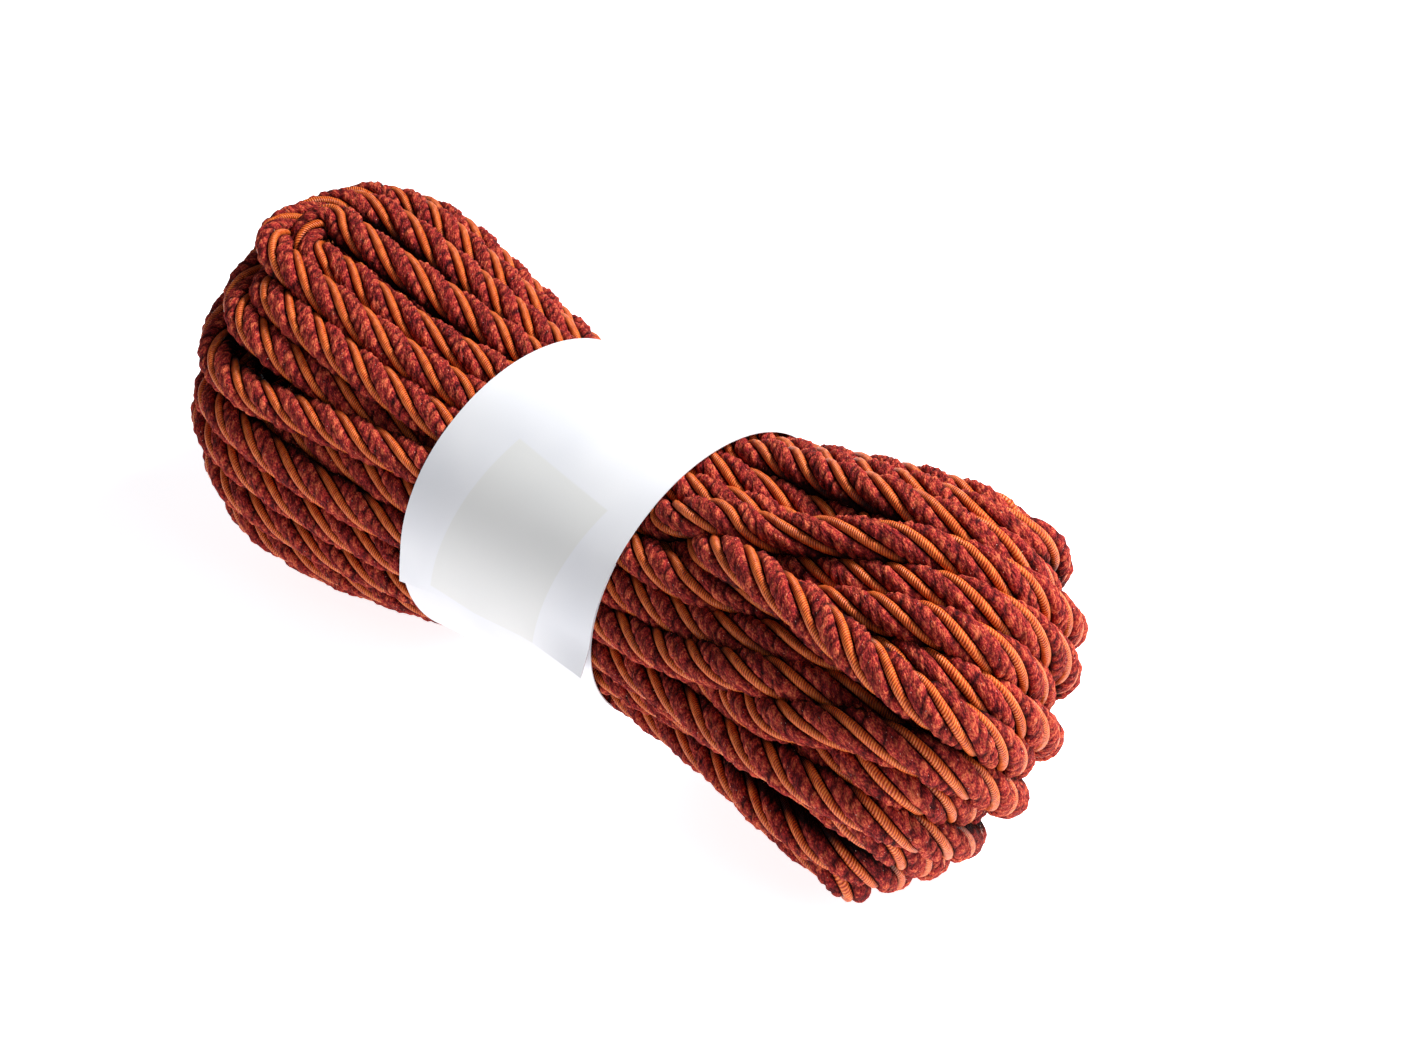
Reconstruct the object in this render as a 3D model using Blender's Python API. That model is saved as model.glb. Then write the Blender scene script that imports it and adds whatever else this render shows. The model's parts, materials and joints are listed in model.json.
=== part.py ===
"""Hank of thick twisted furnishing cord, gathered at the waist by a plain paper band.

Metres, +Z up. X runs along the hank, +X towards the end that the band narrows to, and the
origin is on the surface it lies on, under the middle of its box. The cord goes round and
round in long turns; each turn has two runs, which pass through the band, and a bight at
either end. The hank is one solid of its outer form with every outer run as a ridge.
"""
import bmesh
import bpy
import numpy as np
from mathutils import Matrix

# Driving sizes
CORD = 0.009                   # thickness of the cord
BAND_WIDTH = 0.0565            # along the hank
BAND_WALL = 0.0012
BAND_INNER_LEFT = 0.0393       # inner radius of the band at its left edge
BAND_INNER_RIGHT = 0.0368
BAND_CLEAR = 0.0004            # air between the band and the cord
BAND_MARGIN = 0.003            # how far past its edges the band still holds the cord in
BAND_SKEW = 0.134              # how far its far side leads its near side along X, for each metre between
BAND_SKEW_ANGLE = 47.0         # direction of the far side, in degrees from +Y towards +Z
AXIS_HEIGHT = 0.0440           # the hank's axis above the surface
FLAT_DEPTH = 0.0012            # how far the lowest strands are pressed flat
RIDGE_GRAIN = 0.0017           # finest step of the solid's surface
HANK_TRIANGLES = 10400
SECTION_SIDES = 72

# Where the runs are measured, along X, from the bights at the left to those at the right
STATIONS = np.array([-0.084, -0.055, -0.027, 0.027, 0.052, 0.076, 0.100])
# The two ends. The bights are stacked along a direction, in degrees from +Y towards +Z. The
# runs stop at middle along X: slant is how much further they reach on one side of the stack
# than in its middle, and rounding how much sooner they stop at its first and last bights.
# The hank is off its axis by shift_y and shift_z at that end.
ENDS = {
    "left": {"side": -1.0, "middle": -0.104, "slant": 0.010, "rounding": 0.016,
             "stack": 98.0, "shift_y": 0.0035, "shift_z": 0.0030},
    "right": {"side": 1.0, "middle": 0.099, "slant": 0.015, "rounding": 0.013,
              "stack": 47.0, "shift_y": -0.0015, "shift_z": -0.0010},
}
NESTING = 0.7                  # how much sooner a run stops for each metre it lies deeper
REACH_LEAST = 0.006            # how far the narrowest bight bulges past its runs
REACH_MORE = 0.013             # what the widest bight has on top of that

# Distance of each layer of runs from the axis, at each station
LAYER_RADIUS = {
    "outer": np.array([0.0465, 0.0400, 0.0345, 0.0320, 0.0347, 0.0410, 0.0420]),
    "second": np.array([0.0320, 0.0290, 0.0255, 0.0230, 0.0275, 0.0310, 0.0335]),
    "third": np.array([0.0230, 0.0200, 0.0165, 0.0140, 0.0180, 0.0220, 0.0245]),
    "core": np.array([0.0120, 0.0100, 0.0075, 0.0055, 0.0080, 0.0110, 0.0130]),
}

# The runs that show: layer in the band, angle round the axis at each station in degrees
# from +Y towards +Z, and how far each lies below the outside there, in cords
SHOWN_RUNS = {
    "top_first": ("outer", (62, 58, 54, 46, 58, 64, 60), (0, 0, 0, 0, 0, 0, 0)),
    "top_second": ("outer", (78, 74, 70, 62, 69, 75, 71), (0, 0, 0, 0, 0, 0, 0)),
    "top_third": ("outer", (95, 90, 86, 80, 82, 88, 83), (0, 0, 0, 0, 0, 0, 0)),
    "top_fourth": ("outer", (107, 106, 101, 97, 97, 99, 96), (0.2, 0.3, 0, 0, 0.3, 1, 1)),
    "inner_loop": ("outer", (117, 119, 116, 113, 105, 101, 90), (0, 0, 0, 0, 0.2, 1, 1.2)),
    "wide_loop": ("outer", (127, 130, 131, 127, 119, 110, 96), (0, 0, 0, 0, 0, 0, 0)),
    "left_tip": ("outer", (156, 149, 147, 142, 139, 130, 117), (0, 0, 0, 0, 0, 0.2, 0)),
    "under_tip": ("outer", (161, 161, 161, 157, 152, 144, 130), (0.8, 0.6, 0, 0, 0, 0.3, 0)),
    "low_first": ("outer", (167, 173, 176, 172, 164, 153, 143), (0, 0, 0, 0, 0, 0, 0.8)),
    "low_second": ("outer", (177, 186, 190, 188, 181, 175, 171), (0, 0, 0, 0, 0, 0, 0)),
    "low_third": ("outer", (192, 202, 206, 204, 193, 186, 181), (0, 0, 0, 0, 0.5, 0.7, 0.1)),
    "low_fourth": ("outer", (209, 217, 222, 221, 207, 204, 206), (0, 0, 0, 0, 0, 0, 0)),
    "low_fifth": ("outer", (226, 233, 238, 237, 224, 218, 219), (0, 0, 0, 0, 0, 0, 0)),
    "crossing": ("second", (138, 138, 138, 131, 127, 131, 136), (0, 0.4, 1, 1, -0.4, -0.6, -0.2)),
    "rising_high": ("second", (122, 120, 118, 114, 118, 119, 105), (1, 1, 1, 1, 0.8, 0.3, 0)),
    "rising_low": ("second", (184, 183, 182, 180, 172, 163, 154), (1, 1, 1, 1, 0.2, 0, 0)),
    "rising_last": ("second", (200, 201, 202, 200, 188, 173, 162), (1, 1, 1, 1, 1, 0.5, 0)),
}

# The runs on the far side and inside: how many in each layer, and the angles at the middle
# of the band between which they are spaced evenly
HIDDEN_RUNS = {
    "outer": (9, 250, 390),
    "second": (12, 222, 450),
    "third": (10, 10, 334),
    "core": (4, 60, 330),
}
HIDDEN_TWIST = np.array([17.0, 12.0, 4.0, -4.0, -11.0, -19.0, -27.0])
INNER_DEPTH = 0.95             # depth of the second layer below the first, in cords

ROW_SIZES = (2, 2, 3, 3, 3, 3, 3, 3, 2, 2)   # bights in each row of the stack, from the top

STEPS_ALONG_RUN = 32
STEPS_ROUND_BIGHT = 9
RELAX_PASSES = 46
CORE_DEPTH = 0.5               # how far the core lies under the outer runs' middles, in cords


def run_end(end: dict, angle: float, radius: float) -> float:
    """Where a run stops along X, and its bight starts."""
    outside = LAYER_RADIUS["outer"][0 if end["side"] < 0 else -1]
    turn = np.radians(angle - end["stack"])
    across = radius * np.sin(turn) / outside
    along = radius * np.cos(turn) / outside
    sooner = end["rounding"] * along ** 2 + NESTING * (outside - radius)
    return end["middle"] + end["slant"] * across - end["side"] * sooner


def run_line(angles: np.ndarray, radii: np.ndarray) -> np.ndarray:
    """Points of one run, from the left bights to the right bights."""
    x = np.linspace(run_end(ENDS["left"], angles[0], radii[0]),
                    run_end(ENDS["right"], angles[-1], radii[-1]), STEPS_ALONG_RUN)
    angle = np.radians(np.interp(x, STATIONS, angles))
    radius = np.interp(x, STATIONS, radii)
    y = radius * np.cos(angle)
    z = radius * np.sin(angle) + AXIS_HEIGHT
    for end, edge, far in (("left", STATIONS[2], STATIONS[0]), ("right", STATIONS[3], STATIONS[-1])):
        share = np.clip((x - edge) / (far - edge), 0.0, 1.2) ** 1.5
        y += ENDS[end]["shift_y"] * share
        z += ENDS[end]["shift_z"] * share
    return np.stack([x, y, z], axis=1)


def all_runs() -> list:
    """Every run of the hank as a line of points."""
    lines = []
    for layer, angles, sunk in SHOWN_RUNS.values():
        depth = CORD * (1.0 if layer == "outer" else INNER_DEPTH) * np.array(sunk)
        lines.append(run_line(np.array(angles, dtype=float), LAYER_RADIUS["outer"] - depth))
    for layer, (count, first, last) in HIDDEN_RUNS.items():
        for angle in np.linspace(first, last, count):
            lines.append(run_line(angle + HIDDEN_TWIST, LAYER_RADIUS[layer]))
    return lines


def pair_up(ends: np.ndarray, stack_angle: float) -> list:
    """Pair the runs at one end of the hank so that each bight goes round the others in its row.

    ends holds the last point of every run. Returns pairs of near run and far run.
    """
    turn = np.radians(stack_angle)
    middle = ends[:, 1:].mean(axis=0)
    offset = ends[:, 1:] - middle
    along = offset @ np.array([np.cos(turn), np.sin(turn)])
    across = offset @ np.array([-np.sin(turn), np.cos(turn)])
    order = np.argsort(-across)
    half = len(ends) // 2
    near = sorted(order[:half], key=lambda i: -along[i])
    far = sorted(order[half:], key=lambda i: -along[i])
    pairs = []
    start = 0
    for size in ROW_SIZES:
        near_row = sorted(near[start:start + size], key=lambda i: -across[i])
        far_row = sorted(far[start:start + size], key=lambda i: across[i])
        pairs += zip(near_row, far_row)
        start += size
    return pairs


def bight(start: np.ndarray, end: np.ndarray) -> np.ndarray:
    """Points of the bend that joins two runs round the end of the hank."""
    t = np.linspace(0.0, np.pi, STEPS_ROUND_BIGHT + 2)[1:-1]
    chord = end - start
    width = np.linalg.norm(chord)
    outward = np.array([np.sign(start[0]), 0.0, 0.0])
    outward -= chord * (outward @ chord) / width ** 2
    outward /= np.linalg.norm(outward)
    widest = 2 * LAYER_RADIUS["outer"][-1]
    reach = REACH_LEAST + REACH_MORE * min(width / widest, 1.0)
    along = chord * ((1 - np.cos(t)) / 2)[:, None]
    return start + along + outward * (reach * np.sin(t) ** 0.6)[:, None]


def joined_loops() -> list:
    """The runs joined by their bights into closed lines of points."""
    lines = all_runs()
    joins = {}
    for place, end in ((0, ENDS["left"]), (-1, ENDS["right"])):
        for near, far in pair_up(np.array([line[place] for line in lines]), end["stack"]):
            joins[(near, place)] = far
            joins[(far, place)] = near
    loops = []
    unused = set(range(len(lines)))
    while unused:
        run, place, parts = min(unused), -1, []
        while run in unused:
            unused.discard(run)
            parts.append(lines[run] if place == -1 else lines[run][::-1])
            following = joins[(run, place)]
            parts.append(bight(lines[run][place], lines[following][place]))
            run, place = following, (0 if place == -1 else -1)
        loops.append(np.concatenate(parts))
    return loops


def band_lead(off_axis: np.ndarray) -> np.ndarray:
    """How far the skewed band is along X, at places off its axis in Y and Z."""
    angle = np.radians(BAND_SKEW_ANGLE)
    return BAND_SKEW * (off_axis @ np.array([np.cos(angle), np.sin(angle)]))


def band_radius(x: np.ndarray) -> np.ndarray:
    """Inner radius of the band at places along X from its middle."""
    share = np.clip(x / BAND_WIDTH + 0.5, 0.0, 1.0)
    return BAND_INNER_LEFT + (BAND_INNER_RIGHT - BAND_INNER_LEFT) * share


def settle(loops: list) -> list:
    """Push the runs apart to a cord's thickness, in the band and above the surface."""
    points = np.concatenate(loops)
    home = points.copy()
    counts = [len(loop) for loop in loops]
    starts = np.concatenate([[0], np.cumsum(counts)])
    owner = np.repeat(np.arange(len(loops)), counts)
    place = np.concatenate([np.arange(count) for count in counts])
    length = np.array(counts)[owner]
    first = starts[owner]
    before = first + (place - 1) % length
    after = first + (place + 1) % length
    apart = np.abs(place[:, None] - place[None, :])
    apart = np.minimum(apart, length[:, None] - apart)
    same = (owner[:, None] == owner[None, :]) & (apart < 4)
    for _ in range(RELAX_PASSES):
        delta = points[:, None, :] - points[None, :, :]
        distance = np.sqrt((delta ** 2).sum(axis=2)) + 1e-9
        overlap = np.where(same, 0.0, np.clip(CORD * 0.97 - distance, 0.0, None))
        push = (delta / distance[:, :, None] * overlap[:, :, None]).sum(axis=1)
        points += push * 0.24
        points += (home - points) * 0.02
        points += ((points[before] + points[after]) / 2 - points) * 0.12
        keep_in_bounds(points)
    return [points[start:stop] for start, stop in zip(starts, starts[1:])]


def keep_in_bounds(points: np.ndarray) -> None:
    """Keep the runs inside the band and above the surface."""
    off_axis = points[:, 1:] - np.array([0.0, AXIS_HEIGHT])
    from_middle = points[:, 0] - band_lead(off_axis)
    in_band = np.abs(from_middle) < BAND_WIDTH / 2 + BAND_MARGIN
    radius = np.linalg.norm(off_axis, axis=1)
    limit = band_radius(from_middle) - BAND_CLEAR - CORD / 2
    scale = np.where(in_band & (radius > limit), limit / radius, 1.0)
    points[:, 1:] = off_axis * scale[:, None] + np.array([0.0, AXIS_HEIGHT])
    points[:, 2] = np.maximum(points[:, 2], CORD / 2 - FLAT_DEPTH)


def clear_scene() -> None:
    """Remove whatever the scene holds."""
    for obj in list(bpy.data.objects):
        bpy.data.objects.remove(obj, do_unlink=True)


def finish_material(name: str, colour: tuple, roughness: float) -> bpy.types.Material:
    """A plain finish with one colour."""
    material = bpy.data.materials.new(name)
    material.use_nodes = True
    shader = material.node_tree.nodes["Principled BSDF"]
    shader.inputs["Base Color"].default_value = (*colour, 1.0)
    shader.inputs["Roughness"].default_value = roughness
    shader.inputs["Metallic"].default_value = 0.0
    return material


def tube_mesh(loops: list) -> bpy.types.Mesh:
    """The cord's turns as round tubes."""
    curve = bpy.data.curves.new("turns", "CURVE")
    curve.dimensions = "3D"
    curve.bevel_depth = CORD / 2
    curve.bevel_resolution = 2
    for loop in loops:
        spline = curve.splines.new("POLY")
        spline.points.add(len(loop) - 1)
        for point, place in zip(spline.points, loop):
            point.co = (*place, 1.0)
        spline.use_cyclic_u = True
    holder = bpy.data.objects.new("turns", curve)
    bpy.context.collection.objects.link(holder)
    mesh = bpy.data.meshes.new_from_object(holder.evaluated_get(bpy.context.evaluated_depsgraph_get()))
    bpy.data.objects.remove(holder)
    return mesh


def add_core(form: bmesh.types.BMesh, loops: list) -> None:
    """A plain core under the outer runs, so that the grooves between them have a floor."""
    points = np.concatenate(loops)
    stations = np.linspace(ENDS["left"]["middle"], ENDS["right"]["middle"], 30)
    rings = []
    for x in stations:
        slab = points[np.abs(points[:, 0] - x) < 0.006][:, 1:]
        middle = (slab.max(axis=0) + slab.min(axis=0)) / 2
        offset = slab - middle
        bearing = np.arctan2(offset[:, 1], offset[:, 0])
        reach = np.linalg.norm(offset, axis=1)
        ring = []
        for angle in np.linspace(0, 2 * np.pi, 24, endpoint=False):
            turn = np.abs((bearing - angle + np.pi) % (2 * np.pi) - np.pi)
            around = turn < np.radians(20)
            radius = np.quantile(reach[around], 0.8) if around.any() else reach.min()
            radius = max(radius - CORD * CORE_DEPTH, CORD * 0.4)
            y = middle[0] + radius * np.cos(angle)
            z = middle[1] + radius * np.sin(angle)
            ring.append(form.verts.new((x, y, max(z, 0.002))))
        rings.append(ring)
    for lower, upper in zip(rings, rings[1:]):
        for k in range(24):
            form.faces.new((lower[k - 1], lower[k], upper[k], upper[k - 1]))
    form.faces.new(rings[0])
    form.faces.new(rings[-1][::-1])


def biggest_shell(mesh: bpy.types.Mesh) -> None:
    """Keep only the outer surface of a mesh, without closed pockets inside it."""
    form = bmesh.new()
    form.from_mesh(mesh)
    form.verts.ensure_lookup_table()
    seen = set()
    shells = []
    for vert in form.verts:
        if vert in seen:
            continue
        shell, front = [], [vert]
        seen.add(vert)
        while front:
            current = front.pop()
            shell.append(current)
            for edge in current.link_edges:
                other = edge.other_vert(current)
                if other not in seen:
                    seen.add(other)
                    front.append(other)
        shells.append(shell)
    shells.sort(key=len)
    doomed = [vert for shell in shells[:-1] for vert in shell]
    bmesh.ops.delete(form, geom=doomed, context="VERTS")
    form.to_mesh(mesh)
    form.free()


def evaluated_mesh(obj: bpy.types.Object, name: str) -> bpy.types.Mesh:
    """The object's mesh with its modifiers applied."""
    mesh = bpy.data.meshes.new_from_object(obj.evaluated_get(bpy.context.evaluated_depsgraph_get()))
    mesh.name = name
    return mesh


def make_hank(loops: list) -> bpy.types.Object:
    """The wound form as one solid with a ridge for each outer run."""
    form = bmesh.new()
    form.from_mesh(tube_mesh(loops))
    add_core(form, loops)
    bmesh.ops.recalc_face_normals(form, faces=form.faces)
    rough = bpy.data.meshes.new("rough")
    form.to_mesh(rough)
    form.free()
    hank = bpy.data.objects.new("hank", rough)
    bpy.context.collection.objects.link(hank)
    remesh = hank.modifiers.new("skin", "REMESH")
    remesh.mode = "VOXEL"
    remesh.voxel_size = RIDGE_GRAIN
    skin = evaluated_mesh(hank, "skin")
    hank.modifiers.clear()
    biggest_shell(skin)
    hank.data = skin
    thin = hank.modifiers.new("thin", "DECIMATE")
    skin.calc_loop_triangles()
    thin.ratio = HANK_TRIANGLES / len(skin.loop_triangles)
    thin.use_collapse_triangulate = True
    body = evaluated_mesh(hank, "hank")
    hank.modifiers.clear()
    hank.data = body
    for vert in body.vertices:
        if vert.co.z < FLAT_DEPTH * 0.5:
            vert.co.z = 0.0
    trim_waist(body)
    hank.data.materials.clear()
    hank.data.materials.append(finish_material("rust_cord", (0.19, 0.028, 0.014), 0.8))
    return hank


def trim_waist(mesh: bpy.types.Mesh) -> None:
    """Keep the hank's skin clear of the band's inner wall."""
    for vert in mesh.vertices:
        off_axis = np.array([vert.co.y, vert.co.z - AXIS_HEIGHT])
        from_middle = vert.co.x - band_lead(off_axis)
        if abs(from_middle) > BAND_WIDTH / 2 + BAND_MARGIN:
            continue
        limit = band_radius(from_middle) - BAND_CLEAR
        radius = np.linalg.norm(off_axis)
        if radius > limit:
            vert.co.y, vert.co.z = off_axis * limit / radius + np.array([0.0, AXIS_HEIGHT])


def make_band() -> bpy.types.Object:
    """The paper band round the waist, a sleeve that narrows towards +X and sits a little askew."""
    form = bmesh.new()
    loops = []
    for x, wall in ((-1, 0.0), (-1, BAND_WALL), (1, BAND_WALL), (1, 0.0)):
        radius = band_radius(x * BAND_WIDTH / 2) + wall
        ring = []
        for angle in np.linspace(0, 2 * np.pi, SECTION_SIDES, endpoint=False):
            off_axis = radius * np.array([np.cos(angle), np.sin(angle)])
            lead = x * BAND_WIDTH / 2 + band_lead(off_axis)
            ring.append(form.verts.new((lead, off_axis[0], off_axis[1] + AXIS_HEIGHT)))
        loops.append(ring)
    for near, far in zip(loops, loops[1:] + loops[:1]):
        for k in range(SECTION_SIDES):
            form.faces.new((near[k - 1], near[k], far[k], far[k - 1]))
    bmesh.ops.recalc_face_normals(form, faces=form.faces)
    mesh = bpy.data.meshes.new("band")
    form.to_mesh(mesh)
    form.free()
    band = bpy.data.objects.new("band", mesh)
    bpy.context.collection.objects.link(band)
    mesh.materials.append(finish_material("white_paper", (0.88, 0.89, 0.91), 0.6))
    return band


def centre_over_origin(pieces: list) -> None:
    """Move the pieces' meshes so that the middle of their box is over the origin."""
    points = np.array([vert.co for piece in pieces for vert in piece.data.vertices])
    middle = (points.max(axis=0) + points.min(axis=0)) / 2
    for piece in pieces:
        piece.data.transform(Matrix.Translation((-middle[0], -middle[1], 0.0)))


def main() -> None:
    """Build the hank and its band."""
    clear_scene()
    loops = settle(joined_loops())
    centre_over_origin([make_hank(loops), make_band()])


main()
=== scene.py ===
"""Hank of thick twisted furnishing cord with a plain paper band: the finished look.

The cord is three knobbly chenille plies and three smooth gimps laid up with a right-hand
twist. It goes round in long turns, drawn in at the waist by the band. Metres, +Z up.
"""
import json
import logging
import math
from dataclasses import dataclass, field
from enum import Enum

import bmesh
import bpy
import numpy as np
from mathutils import Matrix, Vector

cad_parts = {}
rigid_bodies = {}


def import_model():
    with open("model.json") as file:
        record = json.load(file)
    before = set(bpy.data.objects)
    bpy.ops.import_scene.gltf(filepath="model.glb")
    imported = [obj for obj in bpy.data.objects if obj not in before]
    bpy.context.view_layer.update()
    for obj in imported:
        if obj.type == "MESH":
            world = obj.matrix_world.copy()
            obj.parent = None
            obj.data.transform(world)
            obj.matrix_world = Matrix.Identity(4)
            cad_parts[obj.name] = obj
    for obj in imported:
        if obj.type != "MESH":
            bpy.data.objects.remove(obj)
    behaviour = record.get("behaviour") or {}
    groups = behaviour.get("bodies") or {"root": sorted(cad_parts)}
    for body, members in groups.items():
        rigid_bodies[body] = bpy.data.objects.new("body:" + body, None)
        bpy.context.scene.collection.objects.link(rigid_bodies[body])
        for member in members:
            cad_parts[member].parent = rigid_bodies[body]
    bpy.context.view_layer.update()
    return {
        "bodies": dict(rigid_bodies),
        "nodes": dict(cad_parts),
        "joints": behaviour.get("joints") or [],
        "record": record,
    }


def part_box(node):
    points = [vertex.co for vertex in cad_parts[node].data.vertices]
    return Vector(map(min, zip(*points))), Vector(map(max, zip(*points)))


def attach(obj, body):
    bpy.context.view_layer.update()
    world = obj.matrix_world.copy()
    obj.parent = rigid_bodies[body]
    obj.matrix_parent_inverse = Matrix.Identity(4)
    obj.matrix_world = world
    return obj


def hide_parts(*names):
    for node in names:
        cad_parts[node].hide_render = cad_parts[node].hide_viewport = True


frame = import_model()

MM = 0.001
# A wave texture repeats after this share of its own unit
WAVE_REPEAT = 0.314
# Numbers of a Mix node's sockets when it mixes colours
FIRST_COLOUR, SECOND_COLOUR, MIXED_COLOUR = 6, 7, 2
log = logging.getLogger("hank")


class Layer(Enum):
    """Where a run lies in the band, from the outside in."""

    OUTER = "outer"
    SECOND = "second"
    THIRD = "third"
    CORE = "core"


def linear(code: str) -> tuple:
    """Turn an sRGB hex colour to linear values.

    Args:
        code: a colour such as "#a83a2c".

    Returns:
        Red, green, blue and alpha for a shader's socket.
    """
    parts = [int(code[i:i + 2], 16) / 255 for i in (1, 3, 5)]
    return (*[c / 12.92 if c <= 0.04045 else ((c + 0.055) / 1.055) ** 2.4 for c in parts], 1.0)


def add_node(tree: bpy.types.NodeTree, kind: str, settings: dict | None = None,
             values: dict | None = None, links: dict | None = None) -> bpy.types.Node:
    """Add one node with its settings, socket values and incoming links.

    Args:
        tree: the node tree.
        kind: the node's type name.
        settings: properties of the node.
        values: socket values by input name or number.
        links: output sockets to join, by input name or number.

    Returns:
        The new node.
    """
    node = tree.nodes.new(kind)
    for name, value in (settings or {}).items():
        setattr(node, name, value)
    for name, value in (values or {}).items():
        node.inputs[name].default_value = value
    for name, socket in (links or {}).items():
        tree.links.new(socket, node.inputs[name])
    return node


def colour_ramp(tree: bpy.types.NodeTree, factor: bpy.types.NodeSocket, stops: list) -> bpy.types.NodeSocket:
    """Add a colour ramp.

    Args:
        tree: the node tree.
        factor: what drives the ramp.
        stops: pairs of place and hex colour, in order.

    Returns:
        The ramp's colour output.
    """
    node = add_node(tree, "ShaderNodeValToRGB", links={"Fac": factor})
    ramp = node.color_ramp
    while len(ramp.elements) < len(stops):
        ramp.elements.new(0.5)
    for element, (place, code) in zip(ramp.elements, stops):
        element.position = place
        element.color = linear(code)
    return node.outputs["Color"]


def weighted_sum(tree: bpy.types.NodeTree, parts: list) -> bpy.types.NodeSocket:
    """Add up weighted values.

    Args:
        tree: the node tree.
        parts: pairs of an output socket and its weight.

    Returns:
        The sum's output socket.
    """
    running = None
    for socket, weight in parts:
        node = add_node(tree, "ShaderNodeMath", {"operation": "MULTIPLY_ADD"},
                        {1: weight, 2: 0.0}, {0: socket})
        if running is not None:
            tree.links.new(running, node.inputs[2])
        running = node.outputs[0]
    return running


def ramp_value(tree: bpy.types.NodeTree, value: bpy.types.NodeSocket, span: tuple,
               result: tuple = (0.0, 1.0)) -> bpy.types.NodeSocket:
    """Spread a value from one span to another, held at the ends.

    Args:
        tree: the node tree.
        value: the value.
        span: where the value starts and stops counting.
        result: what those two places give.

    Returns:
        The result's output socket.
    """
    node = add_node(tree, "ShaderNodeMapRange", {"clamp": True},
                    {"From Min": span[0], "From Max": span[1], "To Min": result[0], "To Max": result[1]},
                    {"Value": value})
    return node.outputs[0]


def mixed(tree: bpy.types.NodeTree, share: bpy.types.NodeSocket, low: object,
          high: object) -> bpy.types.NodeSocket:
    """Mix two colours, each a hex code or an output socket.

    Args:
        tree: the node tree.
        share: how much of the second colour there is.
        low: the first colour.
        high: the second colour.

    Returns:
        The mixed colour's output socket.
    """
    ends = {FIRST_COLOUR: low, SECOND_COLOUR: high}
    codes = {name: linear(end) for name, end in ends.items() if isinstance(end, str)}
    sockets = {name: end for name, end in ends.items() if not isinstance(end, str)}
    node = add_node(tree, "ShaderNodeMix", {"data_type": "RGBA"}, codes, {0: share, **sockets})
    return node.outputs[MIXED_COLOUR]


def new_material(name: str) -> tuple:
    """Add a material with a Principled shader.

    Args:
        name: the material's name.

    Returns:
        The material, its node tree and the shader.
    """
    material = bpy.data.materials.new(name)
    material.use_nodes = True
    tree = material.node_tree
    return material, tree, tree.nodes["Principled BSDF"]


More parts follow.
